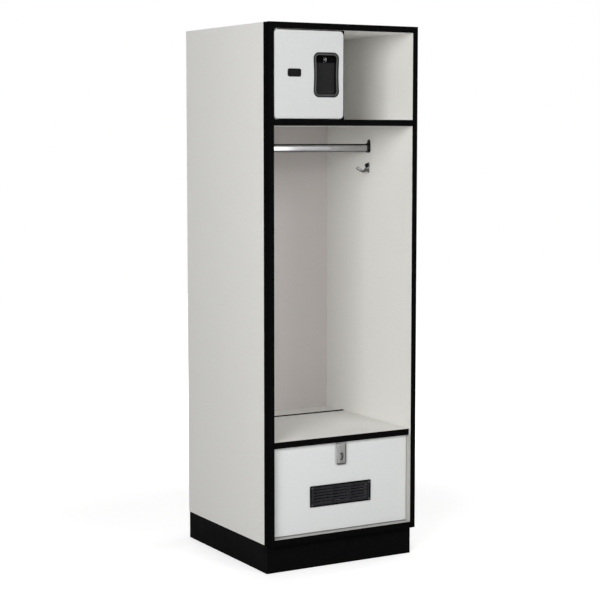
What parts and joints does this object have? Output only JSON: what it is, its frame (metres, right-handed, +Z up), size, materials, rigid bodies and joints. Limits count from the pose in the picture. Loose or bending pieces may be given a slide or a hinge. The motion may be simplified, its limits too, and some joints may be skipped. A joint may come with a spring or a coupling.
{
  "type": "doorless locker",
  "caption": "Open-front locker with a lockable compartment beside a cubby, an oval hanging rod and coat hook, and a vented seat chest with a lifting lid, on a recessed plinth.",
  "frame": {"origin": "on the floor, under the middle of the case: the bottom centre of the bounding box", "axes": "+Z up, the open front faces -Y, +X to the right as seen from the front"},
  "size_m": [0.61, 0.645, 1.93],
  "materials": {
    "grey_laminate": "light grey laminate on particle board, satin",
    "door_foil": "pale grey foil moulded over fibreboard, satin",
    "black_laminate": "black laminate on board, satin",
    "black_edge": "black edging, satin",
    "black_plastic": "moulded black plastic with a fine grain",
    "bright_steel": "bright plated steel",
    "chrome": "polished chrome on an oval steel tube",
    "dark_steel": "dark plated steel, dull",
    "nylon": "off-white nylon"
  },
  "bodies": {
    "carcass": {"left_side_panel": "grey_laminate", "right_side_panel": "grey_laminate", "top_panel": "grey_laminate", "bottom_panel": "grey_laminate", "back_panel": "grey_laminate", "hat_shelf": "grey_laminate", "compartment_divider": "grey_laminate", "upper_hanging_rail": "grey_laminate", "lower_hanging_rail": "grey_laminate", "plinth_front": "black_laminate", "plinth_back": "black_laminate", "plinth_left": "black_laminate", "plinth_right": "black_laminate", "left_corner_angle": "black_edge", "right_corner_angle": "black_edge", "top_edge_strip": "black_edge", "bottom_edge_strip": "black_edge", "hat_shelf_edge_strip": "black_edge", "divider_edge_strip": "black_edge", "upper_door_pivot": "bright_steel", "lower_door_pivot": "bright_steel", "padlock_eye": "bright_steel", "magnet_catch": "nylon", "hanging_rod": "chrome", "left_rod_socket": "dark_steel", "right_rod_socket": "dark_steel", "left_socket_screw": "bright_steel", "right_socket_screw": "bright_steel", "coat_hook": "bright_steel", "upper_hook_screw": "bright_steel", "lower_hook_screw": "bright_steel", "seat_strip": "grey_laminate", "strip_hinge_leaf": "dark_steel", "lid_hinge_pin": "dark_steel", "left_seat_cleat": "grey_laminate", "right_seat_cleat": "grey_laminate", "chest_front_panel": "door_foil", "vent_grille": "black_plastic", "grille_screw_upper_left": "bright_steel", "grille_screw_upper_right": "bright_steel", "grille_screw_lower_left": "bright_steel", "grille_screw_lower_right": "bright_steel", "staple_plate": "bright_steel"},
    "door": {"compartment_door": "door_foil", "handle_cup": "black_plastic", "number_plate": "black_plastic", "magnet_striker": "bright_steel", "upper_pivot_bush": "nylon", "lower_pivot_bush": "nylon"},
    "lid": {"seat_lid": "grey_laminate", "lid_hinge_leaf": "dark_steel", "lid_edge_strip": "black_edge", "hasp_leaf": "bright_steel", "hasp_pin": "bright_steel"},
    "strap": {"hasp_strap": "bright_steel"},
    "ring": {"staple_ring": "bright_steel"}
  },
  "joints": [
    {"name": "door_hinge", "type": "hinge", "parent": "carcass", "child": "door", "pos_m": [-0.2695, -0.309, 1.6005], "axis": [0, 0, -1], "range_deg": [0, 110]},
    {"name": "lid_hinge", "type": "hinge", "parent": "carcass", "child": "lid", "pos_m": [0, 0.154, 0.471], "axis": [-1, 0, 0], "range_deg": [0, 105]},
    {"name": "strap_hinge", "type": "hinge", "parent": "lid", "child": "strap", "pos_m": [0, -0.303, 0.4442], "axis": [-1, 0, 0], "range_deg": [0, 85]},
    {"name": "ring_hinge", "type": "hinge", "parent": "carcass", "child": "ring", "pos_m": [0, -0.2993, 0.4032], "axis": [-1, 0, 0], "range_deg": [0, 90]}
  ]
}
